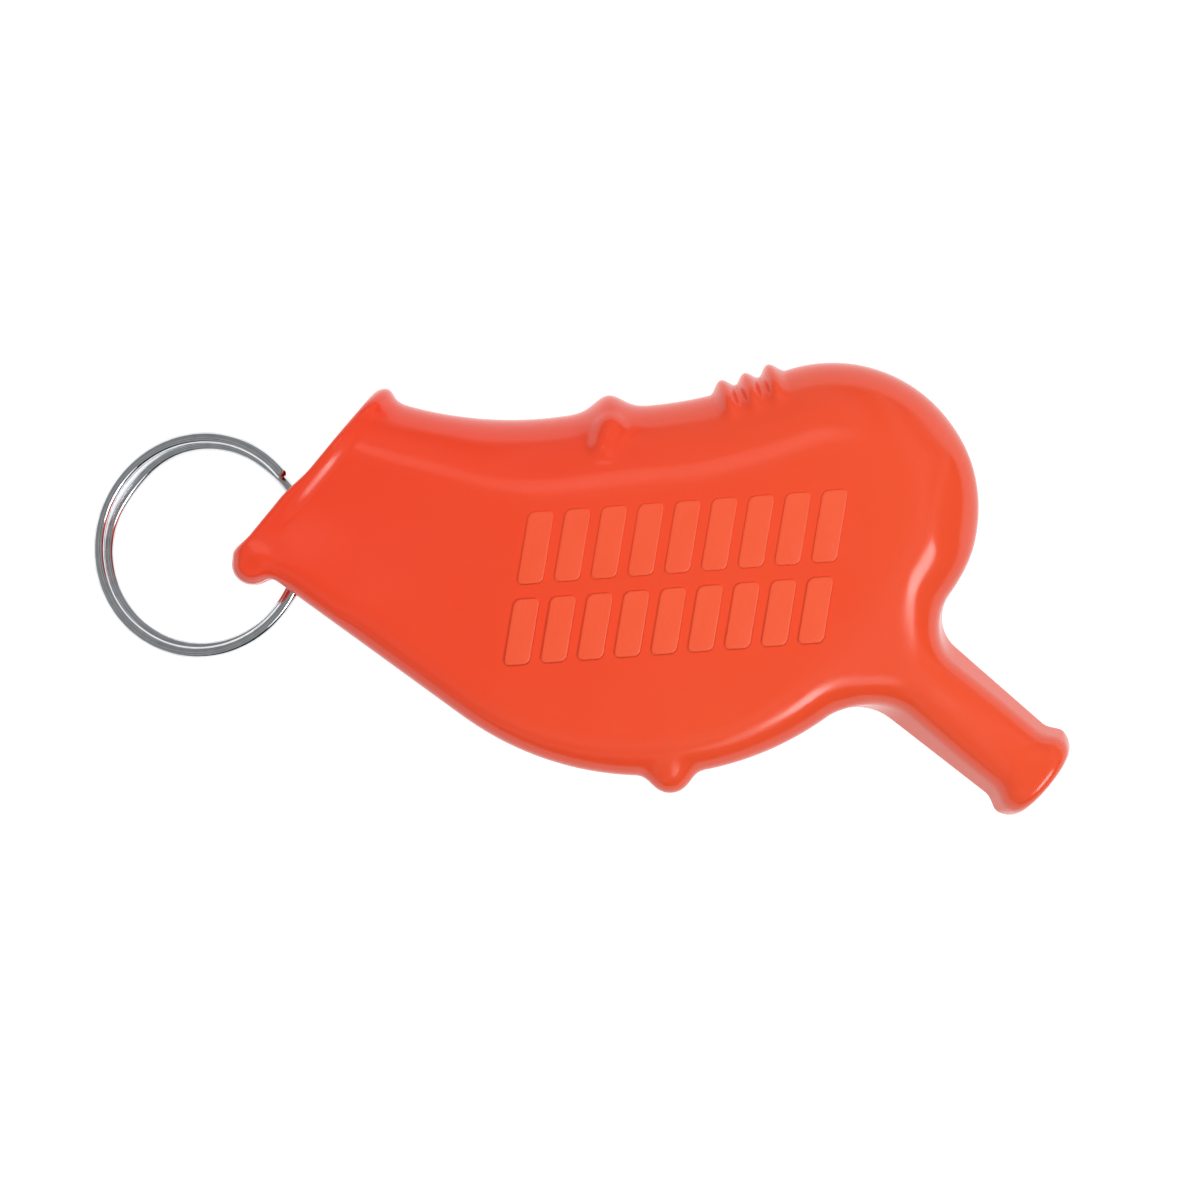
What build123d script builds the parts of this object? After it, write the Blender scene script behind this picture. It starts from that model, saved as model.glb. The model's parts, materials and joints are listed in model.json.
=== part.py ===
"""Pea whistle for dog training: a flat, two-shell plastic body with a bell, a round bulb and a
mouthpiece tube, an inner tone chamber with a windway block and a loose pea, and a split ring
through a hole in the bell's lower wall.

Millimetres. The whistle lies on its side: +Z is its thickness, +X runs along the mouthpiece to
the player, and +Y points to the bulb's side. Every sub-part is drawn about the bulb's axis and
moved to the assembly's origin, the bottom centre of the whole assembly's box, when it is written.
"""

from build123d import *
import os
from math import asin, atan2, cos, degrees, hypot, radians, sin

# Body
THICKNESS = 16.0
WALL = 1.8
MID_Z = THICKNESS / 2
EDGE_ROUND = 4.5
RIM_X = -42.4
BULB_R = 14.3

# Throat and bell, from the bulb's side of the rim to the bulb
THROAT_ANGLE = 152.0
THROAT_R = 44.0
THROAT_TURN = 15.5
THROAT_RUN = 10.4
BELL_R = 38.1
BELL_TURN = 31.0

# Belly, from the mouthpiece to the rim
BELLY_X, BELLY_Y, BELLY_R = -17.0, -8.5, 30.55
BELLY_END_ANGLE = -87.0
LOWER_WALL_RUN = 32.0
ROOT_R = 6.0

# Mouthpiece
MOUTHPIECE_Y = -7.65
MOUTHPIECE_END_X = 33.8
MOUTHPIECE_THICKNESS = 10.6
MOUTHPIECE_ROUND = 2.6
ROOT_HALF_WIDTH = 4.75
TIP_HALF_WIDTH = 4.4
UPPER_NECK_R = 3.9
LOWER_NECK_R = 5.4
BITE_FLANGE = (3.2, 9.8, 11.4)
BITE_FLANGE_ROUND = 1.3
BORE_WIDTH = 5.6
BORE_DEPTH = 6.6
BORE_ROUND = 1.5

# Grip ribs, locating bumps, rim beads and the lip bar that guards the ring's hole
RIB_ANGLES = (170.4, 162.4, 153.6)
RIB_CREST_R = (16.75, 15.85, 15.5)
RIB_R = 1.05
RIB_LENGTH = 12.4
TOP_BUMP = (-23.6, -6.9, 1.9, 10.5)
BOTTOM_BUMP = (4.7, -29.8, 2.2, 11.5)
RIM_BEAD = (-41.2, -20.25, 1.1, 11.0)
LIP_BAR = (-40.8, -40.8, 1.98, 13.6)

# Ring hole through the lower wall, an oblong slot lengthwise along X
HOLE_X, HOLE_Y, HOLE_Z = -36.4, -39.4, MID_Z
HOLE_LENGTH = 6.4
HOLE_WIDTH = 4.4
HOLE_REACH = 4.5

# Inner whistle
BARREL_R = 8.6
BARREL_WALL = 1.15
WINDWAY_TOP_Y = -8.6
WINDWAY_HEIGHT = 1.3
WINDWAY_WIDTH = 8.0
WINDOW_END_X = 4.5
WINDOW_TOP_Y, WINDOW_BOTTOM_Y = -7.63, -10.9
LABIUM_X, LABIUM_Y = -2.5, -8.85
LABIUM_EDGE_THICKNESS = 0.6
LABIUM_FOOT_X = -6.5
WINDOW_WIDTH = 9.4
BLOCK_TOP_Y = -2.6
BLOCK_BOTTOM_Y = -14.0
PEA_R = 4.5
PEA_GAP = 0.15
PEA_ORBIT_R = 3.85
PEA_ANGLE = 205.0

# Split ring: two flattened coils side by side, tilted so that its far end rests on the floor
RING_R = 10.45
COIL_WIDTH = 1.7
COIL_HEIGHT = 1.12
COIL_ROUND = 0.5
COIL_STEP = 1.0
RING_HOLE_Z = 7.4
RING_FLOOR_Z = 1.14
RING_HEADING = 198.5

# From the bulb's axis to the assembly's origin
ORIGIN = Pos(11.545, 19.786, 0)

FAR = 100.0


def heading(angle):
    """A unit direction in the XY plane."""
    return (cos(radians(angle)), sin(radians(angle)))


def chamber_outline():
    """The body's outline without its mouthpiece: bulb, belly, lower wall, bell and throat."""
    root_distance = BULB_R + ROOT_R
    root_x, root_y = root_centre(root_distance, BELLY_R + ROOT_R)
    bulb_end = degrees(atan2(root_y, root_x))
    belly_start = degrees(atan2(root_y - BELLY_Y, root_x - BELLY_X))
    bulb = CenterArc((0, 0), BULB_R, THROAT_ANGLE, bulb_end - THROAT_ANGLE)
    root = JernArc(bulb @ 1, bulb % 1, ROOT_R, belly_start - bulb_end)
    belly = CenterArc((BELLY_X, BELLY_Y), BELLY_R, belly_start, BELLY_END_ANGLE - belly_start)
    lower_wall = PolarLine(belly @ 1, LOWER_WALL_RUN, direction=belly % 1)
    throat = JernArc(bulb @ 0, heading(THROAT_ANGLE + 90), THROAT_R, -THROAT_TURN)
    run = PolarLine(throat @ 1, THROAT_RUN, direction=throat % 1)
    bell = JernArc(run @ 1, run % 1, BELL_R, -BELL_TURN)
    rim = Line(lower_wall @ 1, bell @ 1)
    return make_face([bulb, root, belly, lower_wall, rim, bell, run, throat])


def root_centre(from_bulb, from_belly):
    """The point at the given distances from the bulb's and the belly's centres, on the player's side."""
    apart = hypot(BELLY_X, BELLY_Y)
    along = (from_bulb**2 - from_belly**2 + apart**2) / (2 * apart)
    aside = (from_bulb**2 - along**2) ** 0.5
    to_belly_x, to_belly_y = BELLY_X / apart, BELLY_Y / apart
    return along * to_belly_x - aside * to_belly_y, along * to_belly_y + aside * to_belly_x


def rounded_slab(face, low_z, high_z, rounding, rim_x):
    """The face as a slab with both its long edges rounded, cut off square at rim_x."""
    slab = extrude(Pos(0, 0, low_z) * face, high_z - low_z)
    flats = slab.faces().filter_by(Plane.XY)
    edges = [edge for edge in flats.edges() if not is_rim(edge)]
    slab = fillet(edges, rounding)
    return slab & Pos(rim_x + FAR / 2, 0, MID_Z) * Box(FAR, FAR, FAR)


def is_rim(edge):
    """Whether an edge is the straight one that closes the outline outside the bell's mouth."""
    return edge.center().X < RIM_X


def mouthpiece():
    """The tube that the player blows into, with its two neck fillets and its bite flange."""
    upper_y = MOUTHPIECE_Y + ROOT_HALF_WIDTH
    lower_y = MOUTHPIECE_Y - ROOT_HALF_WIDTH
    upper_neck_y = upper_y + UPPER_NECK_R
    upper_neck_x = ((BULB_R + UPPER_NECK_R) ** 2 - upper_neck_y**2) ** 0.5
    lower_neck_y = lower_y - LOWER_NECK_R
    lower_neck_x = BELLY_X + ((BELLY_R + LOWER_NECK_R) ** 2 - (lower_neck_y - BELLY_Y) ** 2) ** 0.5
    upper_start = 180 + degrees(atan2(upper_neck_y, upper_neck_x))
    lower_end = 180 + degrees(atan2(lower_neck_y - BELLY_Y, lower_neck_x - BELLY_X))
    upper_neck = CenterArc((upper_neck_x, upper_neck_y), UPPER_NECK_R, upper_start, 270 - upper_start)
    lower_neck = CenterArc((lower_neck_x, lower_neck_y), LOWER_NECK_R, 90, lower_end - 90)
    tip_upper = (MOUTHPIECE_END_X, MOUTHPIECE_Y + TIP_HALF_WIDTH)
    tip_lower = (MOUTHPIECE_END_X, MOUTHPIECE_Y - TIP_HALF_WIDTH)
    outline = [
        upper_neck,
        Line(upper_neck @ 1, tip_upper),
        Line(tip_upper, tip_lower),
        Line(tip_lower, lower_neck @ 0),
        lower_neck,
        Line(lower_neck @ 1, upper_neck @ 0),
    ]
    low_z = MID_Z - MOUTHPIECE_THICKNESS / 2
    tube = extrude(Pos(0, 0, low_z) * make_face(outline), MOUTHPIECE_THICKNESS)
    flats = tube.faces().filter_by(Plane.XY)
    sides = [edge for edge in flats.edges() if upper_neck_x < edge.center().X < MOUTHPIECE_END_X - 1]
    tube = fillet(sides, MOUTHPIECE_ROUND)
    flange = Box(*BITE_FLANGE)
    flange = fillet(flange.edges(), BITE_FLANGE_ROUND)
    return tube + Pos(MOUTHPIECE_END_X - BITE_FLANGE[0] / 2, MOUTHPIECE_Y, MID_Z) * flange


def bar_across(x, y, radius, length):
    """A round-ended bar across the body's thickness."""
    bar = Pos(x, y, MID_Z) * Cylinder(radius, length - 2 * radius)
    for side in (-1, 1):
        bar += Pos(x, y, MID_Z + side * (length / 2 - radius)) * Sphere(radius)
    return bar


def raised_features():
    """Three grip ribs, the two locating bumps, the rim's bead and the lip bar."""
    bars = [bar_across(*TOP_BUMP), bar_across(*BOTTOM_BUMP), bar_across(*RIM_BEAD), bar_across(*LIP_BAR)]
    for angle, crest in zip(RIB_ANGLES, RIB_CREST_R):
        x, y = heading(angle)
        reach = crest - RIB_R
        bars.append(bar_across(reach * x, reach * y, RIB_R, RIB_LENGTH))
    return bars


def inner_cavity():
    """The hollow inside the body, open at the bell's rim."""
    inner = offset(chamber_outline(), -WALL, kind=Kind.INTERSECTION)
    return rounded_slab(inner, WALL, THICKNESS - WALL, EDGE_ROUND - WALL, RIM_X - WALL)


def mouthpiece_bore():
    """The bore from the bite flange into the hollow."""
    section = RectangleRounded(BORE_WIDTH, BORE_DEPTH, BORE_ROUND)
    return Pos(BULB_R / 2, MOUTHPIECE_Y, MID_Z) * extrude(Plane.YZ * section, FAR / 2)


def ring_hole():
    """The oblong hole through the lower wall."""
    section = Plane.XZ * SlotOverall(HOLE_LENGTH, HOLE_WIDTH)
    return Pos(HOLE_X, HOLE_Y, HOLE_Z) * extrude(section, HOLE_REACH, both=True)


def whole_body(cavity):
    """Both shells in one, before they are parted at the weld seam."""
    body = rounded_slab(chamber_outline(), 0, THICKNESS, EDGE_ROUND, RIM_X) + mouthpiece()
    for bar in raised_features():
        body += bar
    return body - cavity - mouthpiece_bore() - ring_hole()


def half(body, side):
    """The part of the body above (1) or below (-1) the weld seam."""
    return body & Pos(0, 0, MID_Z + side * FAR / 2) * Box(2 * FAR, 2 * FAR, FAR)


def windway_slot():
    """The thin slot that aims the player's breath at the labium."""
    y = WINDWAY_TOP_Y - WINDWAY_HEIGHT / 2
    return Pos(FAR / 2 + LABIUM_X, y, MID_Z) * Box(FAR, WINDWAY_HEIGHT, WINDWAY_WIDTH)


def tone_chamber():
    """The round barrel that the pea runs in, with its window and sharp labium."""
    depth = THICKNESS - 2 * WALL
    barrel = Pos(0, 0, MID_Z) * (Cylinder(BARREL_R + BARREL_WALL, depth) - Cylinder(BARREL_R, depth))
    corners = [
        (WINDOW_END_X, WINDOW_TOP_Y),
        (LABIUM_X + LABIUM_EDGE_THICKNESS, WINDOW_TOP_Y),
        (LABIUM_X, LABIUM_Y),
        (LABIUM_FOOT_X, WINDOW_BOTTOM_Y),
        (WINDOW_END_X, WINDOW_BOTTOM_Y),
    ]
    window = extrude(Pos(0, 0, MID_Z) * make_face(Polyline(*corners, close=True)), WINDOW_WIDTH / 2, both=True)
    return barrel - window - windway_slot()


def windway_block(cavity):
    """The plug between the barrel and the mouthpiece, pierced by the windway."""
    height = BLOCK_TOP_Y - BLOCK_BOTTOM_Y
    room = Pos(WINDOW_END_X + FAR / 2, BLOCK_BOTTOM_Y + height / 2, MID_Z) * Box(FAR, height, FAR)
    barrel = Pos(0, 0, MID_Z) * Cylinder(BARREL_R + BARREL_WALL, FAR)
    return (cavity & room) - barrel - windway_slot()


def pea():
    """The loose ball, on the lower shell and against the barrel."""
    x, y = heading(PEA_ANGLE)
    return Pos(PEA_ORBIT_R * x, PEA_ORBIT_R * y, WALL + PEA_GAP + PEA_R) * Sphere(PEA_R)


def split_ring():
    """Two flattened coils, hung through the hole and leaning down to the floor."""
    coil = RectangleRounded(COIL_WIDTH, COIL_HEIGHT, COIL_ROUND)
    pair = Pos(RING_R, COIL_STEP / 2) * coil + Pos(RING_R, -COIL_STEP / 2) * coil
    ring = revolve(Plane.XZ * pair, Axis.Z)
    tilt = degrees(asin((RING_HOLE_Z - RING_FLOOR_Z) / (2 * RING_R)))
    reach = RING_R * cos(radians(tilt))
    x, y = heading(RING_HEADING)
    centre = Pos(HOLE_X + reach * x, HOLE_Y + reach * y, (RING_HOLE_Z + RING_FLOOR_Z) / 2)
    return centre * Rot(0, 0, RING_HEADING) * Rot(0, tilt, 0) * ring


def main():
    cavity = inner_cavity()
    body = whole_body(cavity)
    parts = {
        "upper_shell": half(body, 1),
        "lower_shell": half(body, -1),
        "tone_chamber": tone_chamber(),
        "windway_block": windway_block(cavity),
        "pea": pea(),
        "split_ring": split_ring(),
    }
    os.makedirs("parts", exist_ok=True)
    for name, shape in parts.items():
        export_step(ORIGIN * shape, f"parts/{name}.step")


main()
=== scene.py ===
"""Looks for the pea whistle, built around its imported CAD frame.

The moulded shells are meshed from a smooth implicit surface, because their walls, rounded edges,
ribs, bumps and beads all flow into one another. Shapes are worked out in millimetres from the bulb's
axis and the weld seam, and turned into the frame's metres when their meshes are made.
"""

import json
from math import asin, atan2, cos, degrees, pi, radians, sin

import bmesh
import bpy
import numpy as np
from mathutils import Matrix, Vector


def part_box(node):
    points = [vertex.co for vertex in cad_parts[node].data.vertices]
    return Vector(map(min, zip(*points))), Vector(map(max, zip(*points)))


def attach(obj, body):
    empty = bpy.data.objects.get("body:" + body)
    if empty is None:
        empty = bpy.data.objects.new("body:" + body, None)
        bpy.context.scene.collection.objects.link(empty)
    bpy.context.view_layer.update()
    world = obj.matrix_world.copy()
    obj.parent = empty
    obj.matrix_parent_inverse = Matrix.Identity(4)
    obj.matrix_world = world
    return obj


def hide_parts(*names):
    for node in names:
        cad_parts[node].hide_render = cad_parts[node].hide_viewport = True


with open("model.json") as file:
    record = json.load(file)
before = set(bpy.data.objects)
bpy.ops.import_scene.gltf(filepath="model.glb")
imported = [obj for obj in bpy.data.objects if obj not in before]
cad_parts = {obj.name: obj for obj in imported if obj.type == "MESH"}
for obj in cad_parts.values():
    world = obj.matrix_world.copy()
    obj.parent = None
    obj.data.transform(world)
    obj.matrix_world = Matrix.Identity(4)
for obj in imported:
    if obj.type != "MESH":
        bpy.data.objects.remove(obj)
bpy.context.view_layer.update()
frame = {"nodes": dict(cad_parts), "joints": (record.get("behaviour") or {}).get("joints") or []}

MM = 0.001
JOINTS = {joint["name"]: joint for joint in frame["joints"]}
BULB = Vector(JOINTS["pea_orbit"]["pos_m"]) / MM
HOLE = Vector(JOINTS["ring_swing"]["pos_m"]) / MM - BULB
SHELL_HIGH = np.array(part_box("upper_shell")[1]) / MM - np.array(BULB)

# Body outline
HALF_THICKNESS = float(SHELL_HIGH[2])
RIM_X = -42.2
WALL = 1.8
BULB_R = 14.3
THROAT_ANGLE, THROAT_R, THROAT_TURN, THROAT_RUN = 152.0, 44.0, 15.5, 10.4
BELL_R, BELL_TURN = 38.1, 34.0
BELLY_X, BELLY_Y, BELLY_R, BELLY_END_ANGLE = -17.0, -8.5, 30.55, -86.5
PAST_THE_RIM = 12.0

# Mouthpiece
TUBE_Y = -7.65
TUBE_END_X = float(SHELL_HIGH[0])
TUBE_HALF_DEPTH = 5.3
ROOT_HALF_WIDTH, TIP_HALF_WIDTH = 4.75, 4.3
UPPER_NECK_R, LOWER_NECK_R = 3.9, 5.4
BORE_HALF_WIDTH, BORE_HALF_DEPTH, BORE_ROUND = 2.8, 3.3, 1.5
RAMP_START_X, RAMP_END_X = 6.0, 30.0
DRAFT_ANGLE, DRAFT_START_X, DRAFT_FULL_X = 19.0, 13.0, 19.0
TUBE_SHOULDER = 2.6

# The rounded edge at places around the outline: its width, from the outline to the flat face, and its height
EDGES = (
    (-42.0, -20.0, 8.0, 7.0),
    (-26.0, -10.0, 9.6, 8.0),
    (-17.0, 0.0, 10.0, 8.0),
    (-11.0, 9.0, 10.2, 8.0),
    (0.0, 14.3, 10.0, 7.6),
    (10.0, 10.0, 8.6, 5.6),
    (14.3, 1.0, 6.8, 4.2),
    (15.0, -3.0, 5.4, 3.4),
    (25.0, -7.6, 3.6, 3.4),
    (18.0, -12.5, 4.2, 3.2),
    (12.5, -16.5, 4.6, 3.2),
    (6.0, -28.0, 4.4, 3.2),
    (-9.0, -38.0, 4.2, 3.2),
    (-24.0, -39.6, 4.2, 3.2),
    (-36.5, -40.4, 3.4, 3.0),
    (-39.5, -40.4, 1.6, 1.6),
    (-42.0, -40.6, 1.0, 1.0),
)
EDGE_BLEND = 3.0
CROWN = 1.022
SHOULDER_SOFTNESS = 4.0
OUTLINE_SPARE = 0.1


def unit(angle):
    """A unit direction in the XY plane."""
    return np.array((cos(radians(angle)), sin(radians(angle))))


def along_and_across(x, y, start, heading):
    """A point's distance along a heading from a start, and its distance to the left of that line."""
    dx, dy = x - start[0], y - start[1]
    ahead = unit(heading)
    return dx * ahead[0] + dy * ahead[1], dy * ahead[0] - dx * ahead[1]


def smooth_max(a, b, reach):
    """The larger of two fields, rounded where they are closer than reach."""
    near = np.maximum(reach - np.abs(a - b), 0.0) / reach
    return np.maximum(a, b) + near**2 * reach / 4


def smooth_step(value, low, high):
    """0 below low, 1 above high, with no corner between."""
    t = np.clip((value - low) / (high - low), 0.0, 1.0)
    return t * t * (3 - 2 * t)


# ---------------------------------------------------------------------------------------------
# The outline: arcs and straight runs, each given as a signed distance, negative inside the body


def arc_piece(centre, radius, low, high, side):
    """An arc from angle low to high. side is 1 where the body is round here, -1 where it is hollow."""
    middle, half = (low + high) / 2, (high - low) / 2

    def distance(x, y):
        dx, dy = x - centre[0], y - centre[1]
        angle = np.degrees(np.arctan2(dy, dx))
        beside = np.abs((angle - middle + 180) % 360 - 180) > half
        return np.where(beside, np.inf, side * (np.hypot(dx, dy) - radius))

    return distance


def line_piece(start, end):
    """A straight run with the body on its right."""
    start, end = np.array(start), np.array(end)
    length = float(np.hypot(*(end - start)))
    along = (end - start) / length

    def distance(x, y):
        dx, dy = x - start[0], y - start[1]
        run = dx * along[0] + dy * along[1]
        beside = (run < 0) | (run > length)
        return np.where(beside, np.inf, dy * along[0] - dx * along[1])

    return distance


def outline_pieces():
    """The body's outline, clockwise from the rim's throat side to its belly side."""
    throat_centre = (BULB_R + THROAT_R) * unit(THROAT_ANGLE)
    throat_foot_angle = THROAT_ANGLE + 180 - THROAT_TURN
    throat_foot = throat_centre + THROAT_R * unit(throat_foot_angle)
    run_start = throat_foot - THROAT_RUN * unit(throat_foot_angle + 90)
    bell_centre = run_start - BELL_R * unit(throat_foot_angle)

    upper_y, lower_y = TUBE_Y + ROOT_HALF_WIDTH, TUBE_Y - ROOT_HALF_WIDTH
    upper_neck_y = upper_y + UPPER_NECK_R
    upper_neck_x = ((BULB_R + UPPER_NECK_R) ** 2 - upper_neck_y**2) ** 0.5
    lower_neck_y = lower_y - LOWER_NECK_R
    lower_neck_x = BELLY_X + ((BELLY_R + LOWER_NECK_R) ** 2 - (lower_neck_y - BELLY_Y) ** 2) ** 0.5
    bulb_end_angle = degrees(atan2(upper_neck_y, upper_neck_x))
    belly_start_angle = degrees(atan2(lower_neck_y - BELLY_Y, lower_neck_x - BELLY_X))
    taper = (ROOT_HALF_WIDTH - TIP_HALF_WIDTH) / (TUBE_END_X - upper_neck_x)
    tube_past_x = TUBE_END_X + PAST_THE_RIM
    tube_past_half = TIP_HALF_WIDTH - taper * PAST_THE_RIM
    wall_start = np.array((BELLY_X, BELLY_Y)) + BELLY_R * unit(BELLY_END_ANGLE)
    wall_end = wall_start + (wall_start[0] - RIM_X + PAST_THE_RIM) * unit(BELLY_END_ANGLE - 90)
    return [
        arc_piece(bell_centre, BELL_R, throat_foot_angle - BELL_TURN, throat_foot_angle, -1),
        line_piece(run_start, throat_foot),
        arc_piece(throat_centre, THROAT_R, throat_foot_angle, THROAT_ANGLE + 180, -1),
        arc_piece((0.0, 0.0), BULB_R, bulb_end_angle, THROAT_ANGLE, 1),
        arc_piece((upper_neck_x, upper_neck_y), UPPER_NECK_R, bulb_end_angle + 180, 270, -1),
        line_piece((upper_neck_x, upper_y), (tube_past_x, TUBE_Y + tube_past_half)),
        line_piece((tube_past_x, TUBE_Y - tube_past_half), (lower_neck_x, lower_y)),
        arc_piece((lower_neck_x, lower_neck_y), LOWER_NECK_R, 90, belly_start_angle + 180, -1),
        arc_piece((BELLY_X, BELLY_Y), BELLY_R, BELLY_END_ANGLE, belly_start_angle, 1),
        line_piece(wall_start, wall_end),
    ]


OUTLINE = outline_pieces()
FAR_OUT = 30.0  # the distance given where no piece of the outline is beside a point


def outline_distance(x, y):
    """Signed distance to the body's outline, negative inside."""
    nearest = np.full(np.broadcast_shapes(np.shape(x), np.shape(y)), FAR_OUT)
    for piece in OUTLINE:
        candidate = piece(x, y)
        nearest = np.where(np.abs(candidate) < np.abs(nearest), candidate, nearest)
    return nearest


def edge_size(x, y):
    """Width and height of the rounded edge near a point, blended between the places in EDGES."""
    width, height, weights = 0.0, 0.0, 0.0
    for px, py, place_width, place_height in EDGES:
        weight = 1.0 / ((x - px) ** 2 + (y - py) ** 2 + EDGE_BLEND**2) ** 2
        width = width + weight * place_width
        height = height + weight * place_height
        weights = weights + weight
    return width / weights, height / weights


# ---------------------------------------------------------------------------------------------
# Ribs, mound, nubs, rim and mouthpiece end, added to the surface or sunk into it

# Grip ribs: each one's angle round the bulb, its crest's distance from the bulb's axis, and its heading
RIBS = ((170.8, 16.75, 150.0), (162.9, 15.85, 149.0), (154.1, 15.42, 147.5))
RIB_HEIGHT, RIB_HALF_WIDTH, RIB_START, RIB_END, RIB_FADE = 1.2, 1.6, 0.2, 3.6, 2.5

# The mound on the throat's edge
MOUND_X, MOUND_Y, MOUND_HEADING = -23.9, -5.9, 133.0
MOUND_HEIGHT, MOUND_HALF_WIDTH, MOUND_START, MOUND_END = 1.5, 1.95, 1.0, 4.2
MOUND_FADE_START, MOUND_FADE_END = -MOUND_END - 6.0, -MOUND_END - 2.0

# Round nubs, on the face beside the mound and on the belly's edge: two ends, two radii, and the blend
NUBS = (
    ((-21.8, -8.1, 5.3), (-21.1, -9.95, 6.15), 1.2, 1.25, 1.0),
    ((4.05, -30.25, 0.0), (4.05, -30.25, 4.6), 2.2, 2.2, 1.3),
)

# The bell's rim: lip bar, bead, the step behind its lip, and its lower part, which stands further out
LIP_X, LIP_Y, LIP_RADIUS = -40.65, -40.75, 2.0
LIP_EDGE, LIP_EDGE_HEIGHT, LIP_BLEND = 1.2, 1.0, 1.1
BEAD_HEIGHT, BEAD_X, BEAD_WIDTH, BEAD_LOW_Y, BEAD_FULL_Y = 1.0, RIM_X + 0.75, 1.2, -31.0, -26.0
RIM_EDGE_START, RIM_EDGE_END = 0.5, 3.0
RIM_STEP_DEPTH, RIM_STEP_START, RIM_STEP_END = 0.4, RIM_X + 0.45, RIM_X + 2.05
RIM_STEP_TOP_Y, RIM_STEP_BOTTOM_Y, RIM_STEP_FADE, RIM_STEP_RUN = -25.0, -34.5, 3.5, 16.0
RIM_FOOT_OUT, RIM_FOOT_TOP_Y, RIM_FOOT_BOTTOM_Y = 0.42, -29.5, -34.0
RIM_ROUND, MOUTH_ROUND = 0.6, 0.8

# The mouthpiece's bite flange and bowed end face
FLANGE_HEIGHT, FLANGE_START_X, FLANGE_FULL_X = 0.85, TUBE_END_X - 4.2, TUBE_END_X - 1.8
TUBE_END_ROUND, TUBE_END_BOW, TUBE_END_SPARE = 1.1, 0.024, 0.05
TUBE_CORNER, TUBE_CORNER_Y, TUBE_CORNER_LIMIT = 1.0, 5.2, 1.3

# Weld seam, ring hole and cavity
SEAM_DEPTH, SEAM_WIDTH = 0.11, 0.14
HOLE_HALF_LENGTH, HOLE_HALF_WIDTH, HOLE_REACH, HOLE_ROUND = 3.2, 2.2, 2.5 * WALL, 0.5
CAVITY_LEAST_EDGE, CAVITY_ROUND = 1.2, 0.5


def rib_height(x, y, depth):
    """Three round-backed grip ribs across the throat's edge, fading out on the face."""
    height = 0.0
    for angle, crest, heading in RIBS:
        along, across = along_and_across(x, y, crest * unit(angle), heading)
        back = np.cos(np.clip(across / RIB_HALF_WIDTH, -1, 1) * pi / 2) ** 2
        near = smooth_step(along, -RIB_END - RIB_FADE, -RIB_END)
        height = height + RIB_HEIGHT * back * near
    return height * (1 - smooth_step(depth, RIB_START, RIB_END))


def mound_height(x, y, depth):
    """A rounded mound on the throat's edge."""
    along, across = along_and_across(x, y, (MOUND_X, MOUND_Y), MOUND_HEADING)
    ridge = MOUND_HEIGHT * np.exp(-((across / MOUND_HALF_WIDTH) ** 2))
    near = smooth_step(along, MOUND_FADE_START, MOUND_FADE_END)
    return ridge * near * (1 - smooth_step(depth, MOUND_START, MOUND_END))


def nub(x, y, z, start, end, start_radius, end_radius):
    """A round bar between two points, and its mirror image on the lower side, with ball ends and a taper."""
    along = np.array(end) - start
    offset = (x - start[0], y - start[1], np.abs(z) - start[2])
    share = np.clip(sum(o * a for o, a in zip(offset, along)) / (along**2).sum(), 0.0, 1.0)
    away = np.sqrt(sum((o - share * a) ** 2 for o, a in zip(offset, along)))
    return away - start_radius - (end_radius - start_radius) * share


def raised_height(x, y, depth):
    """The height of the ribs, mound, rim bead and bite flange at a point, depth inside the outline."""
    height = rib_height(x, y, depth) + mound_height(x, y, depth)
    bead = BEAD_HEIGHT * smooth_step(y, BEAD_LOW_Y, BEAD_FULL_Y)
    bead = bead * (1 - smooth_step(depth, RIM_EDGE_START, RIM_EDGE_END))
    height = height + bead * np.exp(-(((x - BEAD_X) / BEAD_WIDTH) ** 2))
    return height + FLANGE_HEIGHT * smooth_step(x, FLANGE_START_X, FLANGE_FULL_X)


def sunk_depth(x, y, z, depth):
    """The depth of the step down from the rim's rounded lip to the face, and of the weld seam."""
    step = RIM_STEP_DEPTH * smooth_step(x, RIM_STEP_START, RIM_STEP_END)
    step = step * (1 - smooth_step(x, RIM_STEP_END, RIM_STEP_END + RIM_STEP_RUN))
    step = step * smooth_step(depth, RIM_EDGE_START, RIM_EDGE_END)
    below_top = smooth_step(RIM_STEP_TOP_Y - y, -RIM_STEP_FADE, RIM_STEP_FADE)
    below_bottom = smooth_step(RIM_STEP_BOTTOM_Y - y, -RIM_STEP_FADE, RIM_STEP_FADE)
    step = step * below_top * (1 - below_bottom)
    return step + SEAM_DEPTH * np.exp(-((z / SEAM_WIDTH) ** 2))


# ---------------------------------------------------------------------------------------------
# Solids as implicit fields, negative inside the plastic


def rounded_slab(z, depth, half_height, width, height, raised=0.0):
    """A slab whose upright side rounds over to a flat face, with raised features on its edge."""
    out = np.maximum(1 - depth / width, 0.0)
    up = np.maximum(np.abs(z) - half_height + height, 0.0) / (height * CROWN)
    edge = (np.hypot(out, up) - 1) * width - raised
    return smooth_max(edge, np.abs(z) - half_height, SHOULDER_SOFTNESS / width)


def drafted_slab(z, depth, half_height, raised):
    """A slab whose sides lean inwards from the weld seam, as on the mouthpiece."""
    side = np.abs(z) * sin(radians(DRAFT_ANGLE)) - depth * cos(radians(DRAFT_ANGLE)) - raised
    return smooth_max(side, np.abs(z) - half_height, TUBE_SHOULDER)


def half_height_at(x):
    """The body is thick over the bell and the bulb and thins along a ramp to the mouthpiece."""
    return HALF_THICKNESS - (HALF_THICKNESS - TUBE_HALF_DEPTH) * smooth_step(x, RAMP_START_X, RAMP_END_X)


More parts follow.
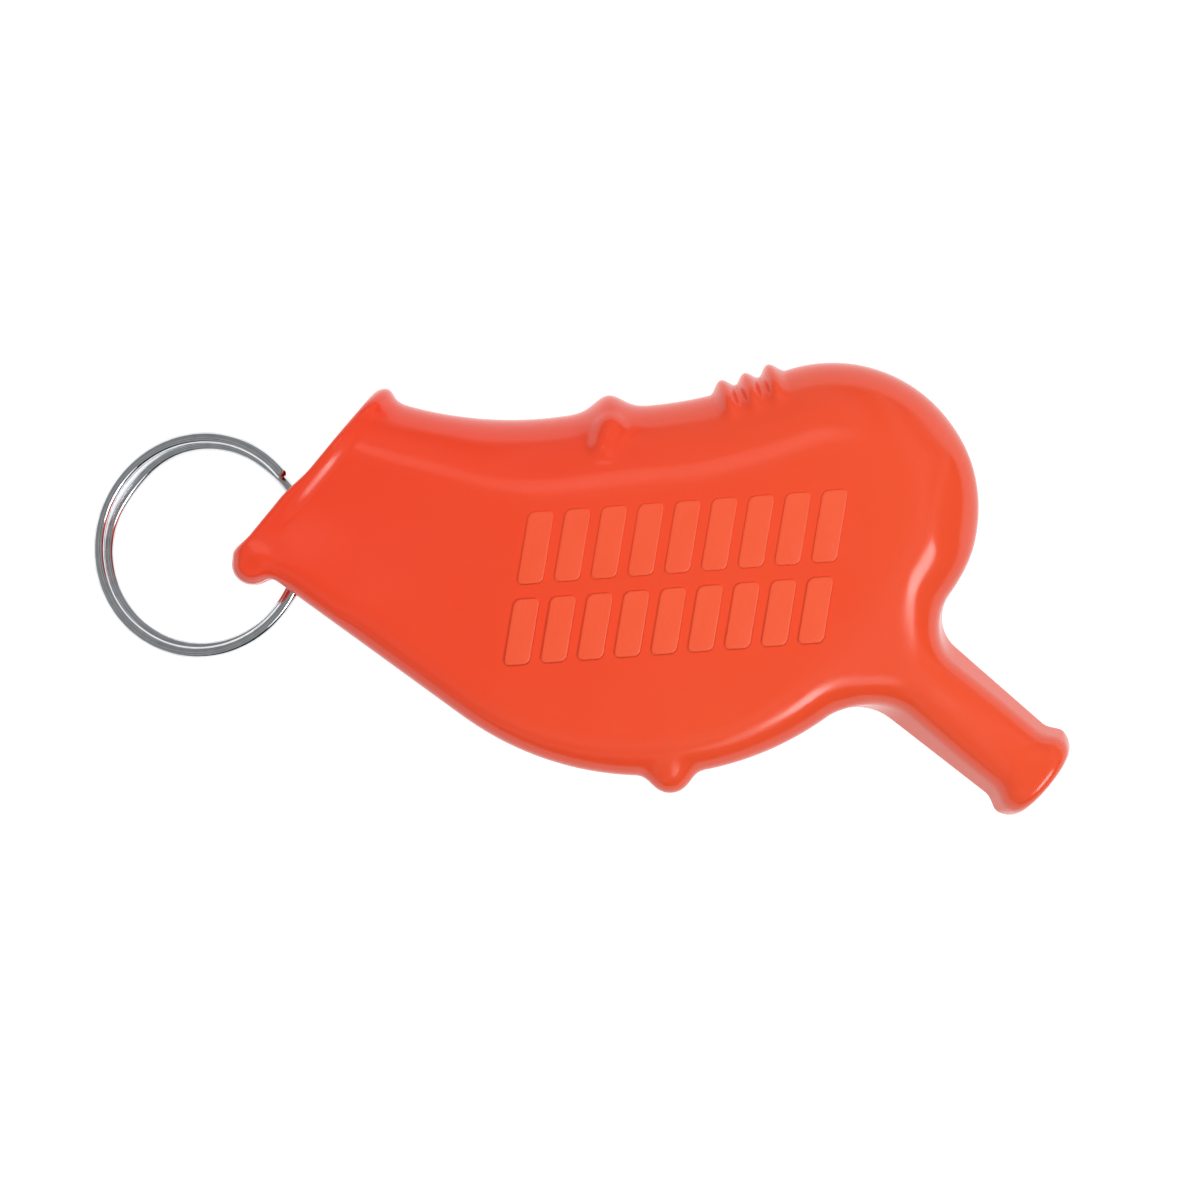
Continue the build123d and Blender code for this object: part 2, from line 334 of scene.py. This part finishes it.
def outer_body(x, y, z):
    """The outside of the moulding, with its rim, end face and raised features."""
    depth = OUTLINE_SPARE - outline_distance(x, y)
    raised = raised_height(x, y, depth)
    half_height = half_height_at(x)
    width, height = edge_size(x, y)
    body = rounded_slab(z, depth, half_height, width, height, raised)
    tube = drafted_slab(z, depth, half_height, raised)
    body = body + (tube - body) * smooth_step(x, DRAFT_START_X, DRAFT_FULL_X)
    for *bar, blend in NUBS:
        body = -smooth_max(-body, -nub(x, y, z, *bar), blend)
    body = body + sunk_depth(x, y, z, depth)
    rim = RIM_X - RIM_FOOT_OUT * smooth_step(-y, -RIM_FOOT_TOP_Y, -RIM_FOOT_BOTTOM_Y) - x
    body = smooth_max(body, rim, RIM_ROUND)
    aside = np.minimum(((y - TUBE_Y) / TUBE_CORNER_Y) ** 2, TUBE_CORNER_LIMIT)
    end = x - TUBE_END_X - TUBE_END_SPARE + TUBE_END_BOW * TUBE_CORNER_Y**2 * aside
    end = end + TUBE_CORNER * aside**4
    body = smooth_max(body, end, TUBE_END_ROUND)
    lip_depth = LIP_RADIUS - np.hypot(x - LIP_X, y - LIP_Y)
    lip = rounded_slab(z, lip_depth, HALF_THICKNESS, LIP_EDGE, LIP_EDGE_HEIGHT)
    return -smooth_max(-body, -lip, LIP_BLEND)


def cavity(x, y, z):
    """The hollow inside, open at the rim, with the mouthpiece's bore."""
    depth = -outline_distance(x, y) - WALL
    width, height = edge_size(x, y)
    width, height = (np.maximum(size - WALL, CAVITY_LEAST_EDGE) for size in (width, height))
    hollow = rounded_slab(z, depth, HALF_THICKNESS - WALL, width, height)
    hollow = smooth_max(hollow, x - BULB_R + WALL, CAVITY_ROUND)
    across = np.abs(y - TUBE_Y) - BORE_HALF_WIDTH + BORE_ROUND
    up = np.abs(z) - BORE_HALF_DEPTH + BORE_ROUND
    corner = np.hypot(np.maximum(across, 0), np.maximum(up, 0)) + np.minimum(np.maximum(across, up), 0)
    bore = np.maximum(corner - BORE_ROUND, BULB_R / 2 - x)
    return np.minimum(hollow, bore)


def ring_hole(x, y, z):
    """The oblong hole through the lower wall."""
    beyond = np.maximum(np.abs(x - HOLE.x) - HOLE_HALF_LENGTH + HOLE_HALF_WIDTH, 0.0)
    slot = np.hypot(beyond, z) - HOLE_HALF_WIDTH
    return np.maximum(slot, np.abs(y - HOLE.y) - HOLE_REACH)


def shell(x, y, z):
    """The whole moulding: both shells, hollow, with the ring's hole."""
    solid = smooth_max(outer_body(x, y, z), -cavity(x, y, z), MOUTH_ROUND)
    return smooth_max(solid, -ring_hole(x, y, z), HOLE_ROUND)


# ---------------------------------------------------------------------------------------------
# Meshing

CELL, FINE_CELL, RIM_CELL = 0.33, 0.22, 0.2
LAYER, SEAM_LAYER, THIN_LAYER = 0.3, 0.1, 0.05
RIBS_LOW_X, RIBS_HIGH_X, RIBS_LOW_Y, RIBS_HIGH_Y = -18.5, -11.0, 0.5, 9.0
GRID_LOW_Y, SEAM_ZONE_Z = -45.0, 0.35
X_STOPS = (
    (RIM_X - 3, RIM_CELL),
    (RIM_X + 3, CELL),
    (RIBS_LOW_X, FINE_CELL),
    (RIBS_HIGH_X, CELL),
    (TUBE_END_X + 1, CELL),
)
Y_STOPS = ((GRID_LOW_Y, CELL), (RIBS_LOW_Y, FINE_CELL), (RIBS_HIGH_Y, CELL), (BULB_R + 2, CELL))
Z_STOPS = (
    (-THIN_LAYER, 2 * THIN_LAYER),
    (THIN_LAYER, SEAM_LAYER),
    (SEAM_ZONE_Z, LAYER),
    (HALF_THICKNESS + 1, LAYER),
)


def surface_net(field, xs, ys, zs):
    """Vertices and quads of a field's zero surface on a grid, one vertex to a cell."""
    values = field(xs[:, None, None], ys[None, :, None], zs[None, None, :])
    cells = tuple(n - 1 for n in values.shape)
    total = np.zeros(cells + (3,))
    count = np.zeros(cells)
    axes = (xs, ys, zs)
    crossings = []
    for axis in range(3):
        ahead = [slice(None)] * 3
        ahead[axis] = slice(1, None)
        behind = [slice(None)] * 3
        behind[axis] = slice(None, -1)
        low, high = values[tuple(behind)], values[tuple(ahead)]
        where = np.argwhere((low < 0) != (high < 0))
        start, end = low[tuple(where.T)], high[tuple(where.T)]
        share = start / (start - end)
        points = np.stack([axes[k][where[:, k]] for k in range(3)], 1)
        step = axes[axis][where[:, axis] + 1] - axes[axis][where[:, axis]]
        points[:, axis] += share * step
        side, other = [k for k in range(3) if k != axis]
        corners = []
        for shift_side, shift_other in ((0, 0), (1, 0), (1, 1), (0, 1)):
            cell = where.copy()
            cell[:, side] -= shift_side
            cell[:, other] -= shift_other
            corners.append(cell)
            good = ((cell >= 0) & (cell < cells)).all(1)
            index = tuple(cell[good].T)
            np.add.at(total, index, points[good])
            np.add.at(count, index, 1)
        flip = (start < 0) == (axis == 1)
        crossings.append((corners, flip))
    used = count > 0
    number = np.full(cells, -1)
    number[used] = np.arange(used.sum())
    quads = []
    for corners, flip in crossings:
        stacked = np.stack(corners, 1)
        inside = ((stacked >= 0) & (stacked < cells)).all((1, 2))
        stacked, turned = stacked[inside], flip[inside]
        quad = number[stacked[..., 0], stacked[..., 1], stacked[..., 2]]
        quad[turned] = quad[turned][:, ::-1]
        quads.append(quad)
    return total[used] / count[used][:, None], np.concatenate(quads)


def gradient(field, points):
    """The field's slope at each point, by central differences."""
    reach = 2e-3
    slopes = []
    for axis in range(3):
        offset = np.zeros(3)
        offset[axis] = reach
        ahead, behind = points + offset, points - offset
        slopes.append((field(*ahead.T) - field(*behind.T)) / (2 * reach))
    return np.stack(slopes, 1)


def settle(field, points, steps=5, limit=0.2):
    """Moves points onto the field's zero surface."""
    for _ in range(steps):
        slope = gradient(field, points)
        move = field(*points.T)[:, None] * slope / np.maximum((slope**2).sum(1), 1e-3)[:, None]
        length = np.sqrt((move**2).sum(1))[:, None]
        points = points - move * np.minimum(1, limit / np.maximum(length, 1e-9))
    return points


def graded(stops):
    """Grid lines between stops, each stop giving its place and the spacing up to the next."""
    lines = []
    for (start, step), (end, _) in zip(stops, stops[1:]):
        count = max(round((end - start) / step), 1)
        lines.append(np.linspace(start, end, count, endpoint=False))
    return np.append(np.concatenate(lines), stops[-1][0])


def add_piece(name, mesh):
    """A new object of the scene with this mesh."""
    piece = bpy.data.objects.new(name, mesh)
    bpy.context.collection.objects.link(piece)
    return piece


def add_smooth_piece(name, mesh):
    """The same, shaded smooth."""
    mesh.polygons.foreach_set("use_smooth", np.ones(len(mesh.polygons), bool))
    return add_piece(name, mesh)


def half_shell(name, side, points, quads, normals, weld):
    """One shell as a closed mesh, mirrored to its side, its weld faces shaded flat."""
    points = points * (1, 1, side)
    corner_normals = (normals * (1, 1, side))[quads]
    corner_normals[weld] = (0, 0, -side)
    if side < 0:
        quads, corner_normals = quads[:, ::-1], corner_normals[:, ::-1]
    mesh = bpy.data.meshes.new(name)
    places = (points + np.array(BULB)) * MM
    mesh.from_pydata(places.tolist(), [], quads.tolist())
    piece = add_smooth_piece(name, mesh)
    mesh.normals_split_custom_set(corner_normals.reshape(-1, 3).tolist())
    return piece


def upper_half(x, y, z):
    """The moulding above the weld plane."""
    return np.maximum(shell(x, y, z), -z)


def make_shells():
    """Both shells, from one net of the upper half."""
    points, quads = surface_net(upper_half, graded(X_STOPS), graded(Y_STOPS), graded(Z_STOPS))
    seam = points[:, 2] < THIN_LAYER
    points[seam, 2] = 0
    weld = seam[quads].all(1)
    skin = np.zeros(len(points), bool)
    skin[quads[~weld]] = True
    points[skin] = settle(shell, points[skin])
    points[seam, 2] = 0
    normals = gradient(shell, points)
    normals[seam, 2] = 0
    normals /= np.maximum(np.linalg.norm(normals, axis=1), 1e-9)[:, None]
    sides = (("shell_top", 1), ("shell_bottom", -1))
    return [half_shell(name, side, points, quads, normals, weld) for name, side in sides]


# ---------------------------------------------------------------------------------------------
# Raised pads on the face

PAD_CENTRE = (-7.5, -15.4)
PAD_HEADING = 43.7
PAD_ROWS = ((4.15, 7.0), (-4.0, 6.4))  # each row's offset and the length of its pads
PADS_IN_ROW, PAD_PITCH, PAD_WIDTH = 9, 3.62, 2.55
PAD_SLANT, PAD_ROUND, PAD_HEIGHT = 14.0, 0.6, 0.14
PAD_LEVELS = ((0.0, -0.08), (0.0, 0.5 * PAD_HEIGHT), (0.05, 0.85 * PAD_HEIGHT), (0.16, PAD_HEIGHT))
CORNER_STEPS = 6


def pad_outline(length, inset):
    """A slanted bar with rounded corners, its middle at the origin."""
    half_width, half_length = PAD_WIDTH / 2 - inset, length / 2 - inset
    radius = PAD_ROUND - inset / 2
    slant = sin(radians(PAD_SLANT))
    points = []
    for quarter, (sx, sy) in enumerate(((1, 1), (-1, 1), (-1, -1), (1, -1))):
        for step in range(CORNER_STEPS + 1):
            turn = unit(90 * (quarter + step / CORNER_STEPS))
            x = sx * (half_width - radius) + radius * turn[0]
            y = sy * (half_length - radius) + radius * turn[1]
            points.append((x + slant * y, y))
    return points


def make_pads():
    """Two rows of slanted grip pads, each with soft edges, standing just proud of the face."""
    bm = bmesh.new()
    along, up = unit(PAD_HEADING), unit(PAD_HEADING + 90)
    for offset, length in PAD_ROWS:
        for index in range(PADS_IN_ROW):
            shift = (index - (PADS_IN_ROW - 1) / 2) * PAD_PITCH + offset * sin(radians(PAD_SLANT))
            middle = np.array(PAD_CENTRE) + shift * along + offset * up
            rings = []
            for inset, height in PAD_LEVELS:
                ring = []
                for px, py in pad_outline(length, inset):
                    x, y = middle + px * along + py * up
                    ring.append(bm.verts.new((BULB + Vector((x, y, HALF_THICKNESS + height))) * MM))
                rings.append(ring)
            for low, high in zip(rings, rings[1:]):
                for k in range(len(low)):
                    bm.faces.new((low[k - 1], low[k], high[k], high[k - 1]))
            bm.faces.new(rings[-1])
            bm.faces.new(rings[0][::-1])
    mesh = bpy.data.meshes.new("face_grip_pads")
    bm.to_mesh(mesh)
    bm.free()
    pads = add_smooth_piece("face_grip_pads", mesh)
    mesh.set_sharp_from_angle(angle=radians(50))
    return pads


# ---------------------------------------------------------------------------------------------
# Split ring and pea

RING_R, WIRE_RADIAL, WIRE_AXIAL = 10.45, 1.1, 1.02
COIL_OUT, COIL_UP = 0.3, 0.54
RING_HOLE_Z, RING_FLOOR_Z, RING_HEADING = 7.4, 1.14, 198.5
RING_STEP_ANGLE, RING_CUT, RING_STEP = 55.0, 0.012, 0.045
PINCH, PINCH_ANGLE, PINCH_SPREAD = 0.34, 162.0, 24.0
WIRE_END_SHAPE = (0.62, 0.87, 0.97)
RING_SAMPLES, WIRE_SAMPLES = 720, 20
PEA_UNEVENNESS = 0.008


def ring_frame():
    """The ring's centre, and its directions to the hole, sideways and up out of its plane."""
    tilt = asin((RING_HOLE_Z - RING_FLOOR_Z) / (2 * RING_R))
    away = unit(RING_HEADING)
    to_hole = np.array((-away[0] * cos(tilt), -away[1] * cos(tilt), sin(tilt)))
    sideways = np.array((away[1], -away[0], 0.0))
    centre = np.array((HOLE.x, HOLE.y, RING_HOLE_Z - HALF_THICKNESS)) - RING_R * to_hole
    return centre, to_hole, sideways, np.cross(to_hole, sideways)


def make_ring():
    """The split ring: two turns of wire that cross over in one short step, pinched together at one place."""
    centre, to_hole, sideways, upward = ring_frame()
    turns = np.linspace(RING_CUT, 2 - RING_CUT, RING_SAMPLES)
    angle = radians(RING_STEP_ANGLE) + 2 * pi * turns
    second = smooth_step(turns, 1 - RING_STEP, 1 + RING_STEP)
    from_pinch = (np.degrees(angle) - PINCH_ANGLE + 180) % 360 - 180
    pinch = PINCH * np.exp(-((from_pinch / PINCH_SPREAD) ** 2)) * second
    radius = RING_R + COIL_OUT * (1 - 2 * second) - pinch
    lift = COIL_UP * (1 - 2 * second) - pinch / 2
    out = np.cos(angle)[:, None] * to_hole + np.sin(angle)[:, None] * sideways
    middle = centre + radius[:, None] * out + lift[:, None] * upward
    around = np.linspace(0, 2 * pi, WIRE_SAMPLES, endpoint=False)
    across = WIRE_RADIAL / 2 * np.cos(around)
    above = WIRE_AXIAL / 2 * np.sin(around)
    end_shape = np.ones(RING_SAMPLES)
    end_shape[:3] = WIRE_END_SHAPE
    end_shape[-3:] = WIRE_END_SHAPE[::-1]
    section = across[None, :, None] * out[:, None, :] + above[None, :, None] * upward
    points = middle[:, None, :] + section * end_shape[:, None, None]
    points = (points + np.array(BULB)) * MM
    faces = []
    for i in range(RING_SAMPLES - 1):
        for k in range(WIRE_SAMPLES):
            a, b = i * WIRE_SAMPLES + k, i * WIRE_SAMPLES + (k + 1) % WIRE_SAMPLES
            faces.append((a, a + WIRE_SAMPLES, b + WIRE_SAMPLES, b))
    faces.append(tuple(range(WIRE_SAMPLES)))
    faces.append(tuple(range((RING_SAMPLES - 1) * WIRE_SAMPLES, RING_SAMPLES * WIRE_SAMPLES))[::-1])
    mesh = bpy.data.meshes.new("ring_coils")
    mesh.from_pydata(points.reshape(-1, 3).tolist(), [], faces)
    return add_smooth_piece("ring_coils", mesh)


def make_pea():
    """The loose pea: a slightly uneven pressed ball."""
    low, high = (np.array(corner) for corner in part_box("pea"))
    middle, radius = (low + high) / 2, float((high - low)[0]) / 2
    bm = bmesh.new()
    bmesh.ops.create_icosphere(bm, subdivisions=5, radius=1.0)
    for vert in bm.verts:
        x, y, z = vert.co
        swell = sin(7 * x + 3 * z) * sin(6 * y - 2 * x) * sin(8 * z + y)
        vert.co = Vector(middle) + vert.co * radius * (1 - PEA_UNEVENNESS * (1 - swell))
    mesh = bpy.data.meshes.new("pea_ball")
    bm.to_mesh(mesh)
    bm.free()
    return add_smooth_piece("pea_ball", mesh)


# ---------------------------------------------------------------------------------------------
# Materials

# Each plastic's deep and light colour
SHELL_ORANGES = (0.88, 0.058, 0.021), (0.875, 0.088, 0.03)
PAD_ORANGES = (0.89, 0.088, 0.029), (0.92, 0.115, 0.042)
INSERT_ORANGES = (0.62, 0.03, 0.004), (0.7, 0.04, 0.006)
# Painted shade along the weld seam, in place of the shade under the shell's rounded edge: its dark red, and its
# reach either side of the seam in millimetres
SEAM_SHADE_RED = (0.45, 0.012, 0.006)
SEAM_SHADE_REACH = 0.4


def new_material(name):
    """A node material with its Principled shader."""
    material = bpy.data.materials.new(name)
    material.use_nodes = True
    return material, material.node_tree.nodes, material.node_tree.links


def noise(nodes, links, scale, detail=3.0, roughness=0.5):
    """A noise texture over the piece's own coordinates, scale in features per metre."""
    coordinates = nodes.new("ShaderNodeTexCoord")
    texture = nodes.new("ShaderNodeTexNoise")
    texture.inputs["Scale"].default_value = scale
    texture.inputs["Detail"].default_value = detail
    texture.inputs["Roughness"].default_value = roughness
    links.new(coordinates.outputs["Object"], texture.inputs["Vector"])
    return texture


def ramp(nodes, links, source, stops):
    """A colour ramp from a value, its stops as (place, colour)."""
    node = nodes.new("ShaderNodeValToRGB")
    while len(node.color_ramp.elements) < len(stops):
        node.color_ramp.elements.new(0.5)
    for element, (place, colour) in zip(node.color_ramp.elements, stops):
        element.position = place
        element.color = colour + (1.0,)
    links.new(source, node.inputs["Fac"])
    return node


def grey(value):
    """A grey as a colour."""
    return (value, value, value)


def bump(nodes, links, height, distance, strength, below=None):
    """A bump node fed by a height, with distance in metres."""
    node = nodes.new("ShaderNodeBump")
    node.inputs["Distance"].default_value = distance
    node.inputs["Strength"].default_value = strength
    links.new(height, node.inputs["Height"])
    if below:
        links.new(below.outputs["Normal"], node.inputs["Normal"])
    return node


def along_the_body(nodes, links):
    """0 at the rim to 1 at the mouthpiece's end, from the piece's own coordinates."""
    coordinates = nodes.new("ShaderNodeTexCoord")
    split = nodes.new("ShaderNodeSeparateXYZ")
    links.new(coordinates.outputs["Object"], split.inputs["Vector"])
    place = nodes.new("ShaderNodeMapRange")
    place.inputs["From Min"].default_value = (BULB.x + RIM_X) * MM
    place.inputs["From Max"].default_value = (BULB.x + TUBE_END_X) * MM
    links.new(split.outputs["X"], place.inputs["Value"])
    return split, place


def paint_seam_shade(nodes, links, z, colour, seam_shade_colour):
    """Paints shade beside the weld seam: darkens a colour there and takes the gloss off, in place of the shade
    under the shell's rounded edge.
    """
    height = nodes.new("ShaderNodeMapRange")
    height.inputs["From Min"].default_value = (BULB.z - SEAM_SHADE_REACH) * MM
    height.inputs["From Max"].default_value = (BULB.z + SEAM_SHADE_REACH) * MM
    links.new(z, height.inputs["Value"])
    ramps = []
    for away, on_seam in ((0.0, 1.0), (0.5, 0.0)):
        stops = ((0.0, grey(away)), (0.3, grey(on_seam)), (0.7, grey(on_seam)), (1.0, grey(away)))
        ramps.append(ramp(nodes, links, height.outputs["Result"], stops))
    # Masks of the painted seam shade: where the colour goes dark red, and where the gloss is taken off
    line, dull = ramps
    mix = nodes.new("ShaderNodeMix")
    mix.data_type = "RGBA"
    links.new(line.outputs["Color"], mix.inputs["Factor"])
    links.new(colour, mix.inputs[6])
    mix.inputs[7].default_value = seam_shade_colour + (1.0,)
    links.new(dull.outputs["Color"], nodes["Principled BSDF"].inputs["Specular IOR Level"])
    return mix.outputs[2]


def plastic(name, deep, light, rough_low, rough_high, grain=0.0, seam=None):
    """Moulded plastic: a colour lighter towards the mouthpiece's end and uneven in patches, uneven gloss, sink
    waves, and a fine grain and painted shade along the weld seam if asked.
    """
    material, nodes, links = new_material(name)
    shader = nodes["Principled BSDF"]
    # Lighter from the rim towards the mouthpiece's end, with patches of random tone
    split, place = along_the_body(nodes, links)
    flow = noise(nodes, links, 55.0, 2.0)
    blend = nodes.new("ShaderNodeMath")
    blend.operation = "MULTIPLY_ADD"
    blend.inputs[1].default_value = 0.5
    links.new(flow.outputs["Fac"], blend.inputs[0])
    links.new(place.outputs["Result"], blend.inputs[2])
    colour = ramp(nodes, links, blend.outputs["Value"], ((0.2, deep), (1.0, light))).outputs["Color"]
    # Painted shade along the weld seam, when a shade colour is given
    if seam:
        colour = paint_seam_shade(nodes, links, split.outputs["Z"], colour, seam)
    links.new(colour, shader.inputs["Base Color"])
    smudge = noise(nodes, links, 260.0, 4.0)
    gloss = ramp(nodes, links, smudge.outputs["Fac"], ((0.35, grey(rough_low)), (0.7, grey(rough_high))))
    links.new(gloss.outputs["Color"], shader.inputs["Roughness"])
    wave = noise(nodes, links, 120.0, 1.0)
    normal = bump(nodes, links, wave.outputs["Fac"], 0.00012, 0.35)
    if grain:
        fine = noise(nodes, links, 3200.0, 2.0)
        normal = bump(nodes, links, fine.outputs["Fac"], 0.00004, grain, normal)
    links.new(normal.outputs["Normal"], shader.inputs["Normal"])
    shader.inputs["IOR"].default_value = 1.46
    return material


def nickel():
    """Bright nickel plate, unevenly tarnished and faintly rubbed."""
    material, nodes, links = new_material("nickel_plate")
    shader = nodes["Principled BSDF"]
    shader.inputs["Metallic"].default_value = 1.0
    tarnish = noise(nodes, links, 900.0, 4.0)
    stops = ((0.3, (0.66, 0.69, 0.72)), (0.75, (0.82, 0.84, 0.86)))
    colour = ramp(nodes, links, tarnish.outputs["Fac"], stops)
    links.new(colour.outputs["Color"], shader.inputs["Base Color"])
    rub = noise(nodes, links, 1800.0, 5.0)
    gloss = ramp(nodes, links, rub.outputs["Fac"], ((0.35, grey(0.06)), (0.75, grey(0.14))))
    links.new(gloss.outputs["Color"], shader.inputs["Roughness"])
    normal = bump(nodes, links, rub.outputs["Fac"], 0.00002, 0.3)
    links.new(normal.outputs["Normal"], shader.inputs["Normal"])
    return material


def cork():
    """Matt pressed cork with dark flecks."""
    material, nodes, links = new_material("pressed_cork")
    shader = nodes["Principled BSDF"]
    fleck = noise(nodes, links, 1400.0, 6.0, 0.65)
    stops = ((0.35, (0.2, 0.1, 0.045)), (0.5, (0.48, 0.31, 0.16)), (0.7, (0.62, 0.44, 0.26)))
    colour = ramp(nodes, links, fleck.outputs["Fac"], stops)
    links.new(colour.outputs["Color"], shader.inputs["Base Color"])
    normal = bump(nodes, links, fleck.outputs["Fac"], 0.00015, 0.6)
    links.new(normal.outputs["Normal"], shader.inputs["Normal"])
    shader.inputs["Roughness"].default_value = 0.8
    return material


def dress(piece, material):
    """Gives a piece its one material."""
    piece.data.materials.clear()
    piece.data.materials.append(material)


# ---------------------------------------------------------------------------------------------
# Stage, light and camera

VIEW_CENTRE = BULB + Vector((-11.97, -21.66, -HALF_THICKNESS))
VIEW_ROLL = 39.5
VIEW_WIDTH = 118.8
CAMERA_HEIGHT = 1000.0
LENS_SENSOR = 36.0
TABLE_GLOW, TABLE_REACH = 0.95, 3.0
SKY_HEAD = (-0.5, 0.5, 0.5)
SKY_BANDS = ((0.42, 0.02), (0.5, 0.5), (0.58, 0.08), (0.67, 0.5), (0.77, 0.07), (0.86, 0.4), (0.95, 0.25))


def make_camera():
    """A long lens looking straight down, rolled so that the mouthpiece points down to the right."""
    camera = bpy.data.cameras.new("camera")
    camera.sensor_width = LENS_SENSOR
    camera.lens = LENS_SENSOR * (CAMERA_HEIGHT - HALF_THICKNESS) / VIEW_WIDTH
    camera.clip_start, camera.clip_end = 0.01, 10.0
    holder = bpy.data.objects.new("camera", camera)
    holder.location = (VIEW_CENTRE + Vector((0, 0, CAMERA_HEIGHT))) * MM
    holder.rotation_euler = (0, 0, radians(VIEW_ROLL))
    bpy.context.collection.objects.link(holder)
    bpy.context.scene.camera = holder


def picture_direction(right, up, towards):
    """A direction given as seen in the picture: to the right, up, and towards the camera."""
    x, y = right * unit(VIEW_ROLL) + up * unit(VIEW_ROLL + 90)
    return Vector((x, y, towards)).normalized()


def add_softbox(name, place, distance, size, power):
    """A soft oval light aimed at the whistle, its place as seen in the picture, in metres and watts."""
    light = bpy.data.lights.new(name, "AREA")
    light.shape = "ELLIPSE"
    light.size, light.size_y = size
    light.energy = power
    holder = bpy.data.objects.new(name, light)
    direction = picture_direction(*place)
    holder.location = VIEW_CENTRE * MM + direction * distance
    holder.rotation_euler = direction.to_track_quat("Z", "Y").to_euler()
    bpy.context.collection.objects.link(holder)
    return holder


def make_world():
    """A studio in soft bands, from dark on the key light's side to light at SKY_HEAD, as seen in the picture."""
    world = bpy.data.worlds.new("studio")
    world.use_nodes = True
    nodes, links = world.node_tree.nodes, world.node_tree.links
    background = nodes["Background"]
    coordinates = nodes.new("ShaderNodeTexCoord")
    lean = nodes.new("ShaderNodeVectorMath")
    lean.operation = "DOT_PRODUCT"
    lean.inputs[1].default_value = picture_direction(*SKY_HEAD) * 0.5
    links.new(coordinates.outputs["Generated"], lean.inputs[0])
    place = nodes.new("ShaderNodeMath")
    place.operation = "ADD"
    place.inputs[1].default_value = 0.5
    links.new(lean.outputs["Value"], place.inputs[0])
    sky = ramp(nodes, links, place.outputs["Value"], [(at, grey(value)) for at, value in SKY_BANDS])
    links.new(sky.outputs["Color"], background.inputs["Color"])
    background.inputs["Strength"].default_value = 1.0
    bpy.context.scene.world = world


def make_floor():
    """A white light table, so wide that its edges stay out of the reflections."""
    mesh = bpy.data.meshes.new("table_top")
    corners = [(TABLE_REACH * x, TABLE_REACH * y, 0) for x, y in ((-1, -1), (1, -1), (1, 1), (-1, 1))]
    mesh.from_pydata(corners, [], [(0, 1, 2, 3)])
    floor = add_piece("table_top", mesh)
    material, nodes, links = new_material("white_table")
    shader = nodes["Principled BSDF"]
    grain = noise(nodes, links, 30.0)
    tone = ramp(nodes, links, grain.outputs["Fac"], ((0.3, grey(0.2)), (0.7, grey(0.22))))
    links.new(tone.outputs["Color"], shader.inputs["Base Color"])
    glow = ramp(nodes, links, grain.outputs["Fac"], ((0.3, grey(0.98)), (0.7, grey(1.0))))
    links.new(glow.outputs["Color"], shader.inputs["Emission Color"])
    shader.inputs["Emission Strength"].default_value = TABLE_GLOW
    shader.inputs["Roughness"].default_value = 0.6
    shader.inputs["Specular IOR Level"].default_value = 0.0
    dress(floor, material)


def main():
    bpy.context.scene.view_settings.view_transform = "Standard"
    make_camera()
    make_world()
    make_floor()
    add_softbox("key_light", (0.839, -0.545, 1.19), 0.6, (0.33, 0.21), 1.5)
    add_softbox("side_light", (0.469, -0.883, 1.19), 0.6, (0.2, 0.22), 0.16)
    top_light = add_softbox("top_light", (-0.12, 0.42, 1.0), 0.7, (0.3, 0.3), 2.3)
    top_light.visible_glossy = False

    # The shells' colour carries painted shade along the weld seam
    shell_plastic = plastic("orange_gloss", *SHELL_ORANGES, 0.15, 0.23, seam=SEAM_SHADE_RED)
    pad_plastic = plastic("orange_pad", *PAD_ORANGES, 0.3, 0.42, grain=0.5)
    insert_plastic = plastic("orange_insert", *INSERT_ORANGES, 0.2, 0.35)
    shell_top, shell_bottom = make_shells()
    pads, ring, pea = make_pads(), make_ring(), make_pea()
    for piece, node, body, slot, material in (
        (shell_top, "upper_shell", "root", "shell_plastic", shell_plastic),
        (shell_bottom, "lower_shell", "root", "shell_plastic", shell_plastic),
        (ring, "split_ring", "ring", "ring_steel", nickel()),
        (pea, "pea", "pea", "pea_plastic", cork()),
    ):
        dress(piece, material)
        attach(piece, body)
        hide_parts(node)
    dress(pads, pad_plastic)
    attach(pads, "root")
    for node in ("tone_chamber", "windway_block"):
        dress(frame["nodes"][node], insert_plastic)


main()
